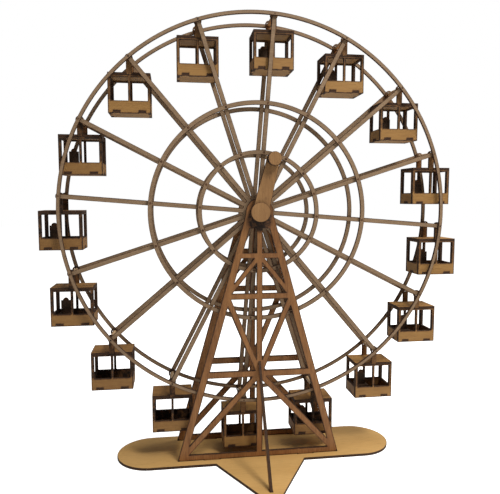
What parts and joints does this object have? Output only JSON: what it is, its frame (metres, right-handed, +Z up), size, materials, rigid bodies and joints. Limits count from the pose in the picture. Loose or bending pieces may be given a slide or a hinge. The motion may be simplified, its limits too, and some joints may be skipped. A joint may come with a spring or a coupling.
{
  "type": "model ferris wheel",
  "caption": "Laser-cut plywood model of a ferris wheel: hanging cabins stay level as the spoked wheel turns on a braced A-frame stand, driven by a hand crank.",
  "frame": {"origin": "on the underside of the base plate, straight below the axle, midway between the towers", "axes": "+Z up, +Y along the axle from the crank side to the back, +X to the right seen from the crank side"},
  "size_m": [0.5244, 0.189, 0.5549],
  "materials": {
    "base_wood": "bare light plywood face with scorched cut edges",
    "stand_wood": "bare brown plywood with scorched cut edges",
    "wheel_wood": "bare grey-brown plywood with scorched cut edges",
    "cabin_wood": "bare plywood with scorched cut edges and finger joints",
    "rod_wood": "pale round rod",
    "crank_wood": "bare plywood discs and arm with scorched rims"
  },
  "bodies": {
    "stand": {"base_plate": "base_wood", "tower_front": "stand_wood", "tower_back": "stand_wood", "front_strut": "stand_wood"},
    "wheel": {"spokes_front": "wheel_wood", "rim_front": "wheel_wood", "middle_ring_front": "wheel_wood", "inner_ring_front": "wheel_wood", "spokes_back": "wheel_wood", "rim_back": "wheel_wood", "middle_ring_back": "wheel_wood", "inner_ring_back": "wheel_wood", "axle": "crank_wood", "collar_front": "crank_wood", "collar_back": "crank_wood", "axle_cap_front": "crank_wood", "axle_cap_back": "crank_wood", "crank_arm": "crank_wood", "crank_knob": "crank_wood", "rod_01": "rod_wood", "rod_02": "rod_wood", "rod_03": "rod_wood", "rod_04": "rod_wood", "rod_05": "rod_wood", "rod_06": "rod_wood", "rod_07": "rod_wood", "rod_08": "rod_wood", "rod_09": "rod_wood", "rod_10": "rod_wood", "rod_11": "rod_wood", "rod_12": "rod_wood", "rod_13": "rod_wood", "rod_14": "rod_wood", "rod_15": "rod_wood", "rod_16": "rod_wood"},
    "hung_cabin_01": {"cabin_01": "cabin_wood"},
    "hung_cabin_02": {"cabin_02": "cabin_wood"},
    "hung_cabin_03": {"cabin_03": "cabin_wood"},
    "hung_cabin_04": {"cabin_04": "cabin_wood"},
    "hung_cabin_05": {"cabin_05": "cabin_wood"},
    "hung_cabin_06": {"cabin_06": "cabin_wood"},
    "hung_cabin_07": {"cabin_07": "cabin_wood"},
    "hung_cabin_08": {"cabin_08": "cabin_wood"},
    "hung_cabin_09": {"cabin_09": "cabin_wood"},
    "hung_cabin_10": {"cabin_10": "cabin_wood"},
    "hung_cabin_11": {"cabin_11": "cabin_wood"},
    "hung_cabin_12": {"cabin_12": "cabin_wood"},
    "hung_cabin_13": {"cabin_13": "cabin_wood"},
    "hung_cabin_14": {"cabin_14": "cabin_wood"},
    "hung_cabin_15": {"cabin_15": "cabin_wood"},
    "hung_cabin_16": {"cabin_16": "cabin_wood"}
  },
  "joints": [
    {"name": "wheel_turn", "type": "hinge", "parent": "stand", "child": "wheel", "pos_m": [0, 0, 0.313], "axis": [0, 1, 0], "continuous": true},
    {"name": "cabin_01_swing", "type": "hinge", "parent": "wheel", "child": "hung_cabin_01", "pos_m": [0.23723, 0, 0.29391], "axis": [0, 1, 0], "continuous": true},
    {"name": "cabin_02_swing", "type": "hinge", "parent": "wheel", "child": "hung_cabin_02", "pos_m": [0.22648, 0, 0.38615], "axis": [0, 1, 0], "continuous": true},
    {"name": "cabin_03_swing", "type": "hinge", "parent": "wheel", "child": "hung_cabin_03", "pos_m": [0.18125, 0, 0.46725], "axis": [0, 1, 0], "continuous": true},
    {"name": "cabin_04_swing", "type": "hinge", "parent": "wheel", "child": "hung_cabin_04", "pos_m": [0.10842, 0, 0.52487], "axis": [0, 1, 0], "continuous": true},
    {"name": "cabin_05_swing", "type": "hinge", "parent": "wheel", "child": "hung_cabin_05", "pos_m": [0.01909, 0, 0.55023], "axis": [0, 1, 0], "continuous": true},
    {"name": "cabin_06_swing", "type": "hinge", "parent": "wheel", "child": "hung_cabin_06", "pos_m": [-0.07315, 0, 0.53948], "axis": [0, 1, 0], "continuous": true},
    {"name": "cabin_07_swing", "type": "hinge", "parent": "wheel", "child": "hung_cabin_07", "pos_m": [-0.15425, 0, 0.49425], "axis": [0, 1, 0], "continuous": true},
    {"name": "cabin_08_swing", "type": "hinge", "parent": "wheel", "child": "hung_cabin_08", "pos_m": [-0.21187, 0, 0.42142], "axis": [0, 1, 0], "continuous": true},
    {"name": "cabin_09_swing", "type": "hinge", "parent": "wheel", "child": "hung_cabin_09", "pos_m": [-0.23723, 0, 0.33209], "axis": [0, 1, 0], "continuous": true},
    {"name": "cabin_10_swing", "type": "hinge", "parent": "wheel", "child": "hung_cabin_10", "pos_m": [-0.22648, 0, 0.23985], "axis": [0, 1, 0], "continuous": true},
    {"name": "cabin_11_swing", "type": "hinge", "parent": "wheel", "child": "hung_cabin_11", "pos_m": [-0.18125, 0, 0.15875], "axis": [0, 1, 0], "continuous": true},
    {"name": "cabin_12_swing", "type": "hinge", "parent": "wheel", "child": "hung_cabin_12", "pos_m": [-0.10842, 0, 0.10113], "axis": [0, 1, 0], "continuous": true},
    {"name": "cabin_13_swing", "type": "hinge", "parent": "wheel", "child": "hung_cabin_13", "pos_m": [-0.01909, 0, 0.07577], "axis": [0, 1, 0], "continuous": true},
    {"name": "cabin_14_swing", "type": "hinge", "parent": "wheel", "child": "hung_cabin_14", "pos_m": [0.07315, 0, 0.08652], "axis": [0, 1, 0], "continuous": true},
    {"name": "cabin_15_swing", "type": "hinge", "parent": "wheel", "child": "hung_cabin_15", "pos_m": [0.15425, 0, 0.13175], "axis": [0, 1, 0], "continuous": true},
    {"name": "cabin_16_swing", "type": "hinge", "parent": "wheel", "child": "hung_cabin_16", "pos_m": [0.21187, 0, 0.20458], "axis": [0, 1, 0], "continuous": true}
  ],
  "couplings": [
    {"joint": "cabin_01_swing", "follows": "wheel_turn", "ratio": -1},
    {"joint": "cabin_02_swing", "follows": "wheel_turn", "ratio": -1},
    {"joint": "cabin_03_swing", "follows": "wheel_turn", "ratio": -1},
    {"joint": "cabin_04_swing", "follows": "wheel_turn", "ratio": -1},
    {"joint": "cabin_05_swing", "follows": "wheel_turn", "ratio": -1},
    {"joint": "cabin_06_swing", "follows": "wheel_turn", "ratio": -1},
    {"joint": "cabin_07_swing", "follows": "wheel_turn", "ratio": -1},
    {"joint": "cabin_08_swing", "follows": "wheel_turn", "ratio": -1},
    {"joint": "cabin_09_swing", "follows": "wheel_turn", "ratio": -1},
    {"joint": "cabin_10_swing", "follows": "wheel_turn", "ratio": -1},
    {"joint": "cabin_11_swing", "follows": "wheel_turn", "ratio": -1},
    {"joint": "cabin_12_swing", "follows": "wheel_turn", "ratio": -1},
    {"joint": "cabin_13_swing", "follows": "wheel_turn", "ratio": -1},
    {"joint": "cabin_14_swing", "follows": "wheel_turn", "ratio": -1},
    {"joint": "cabin_15_swing", "follows": "wheel_turn", "ratio": -1},
    {"joint": "cabin_16_swing", "follows": "wheel_turn", "ratio": -1}
  ]
}
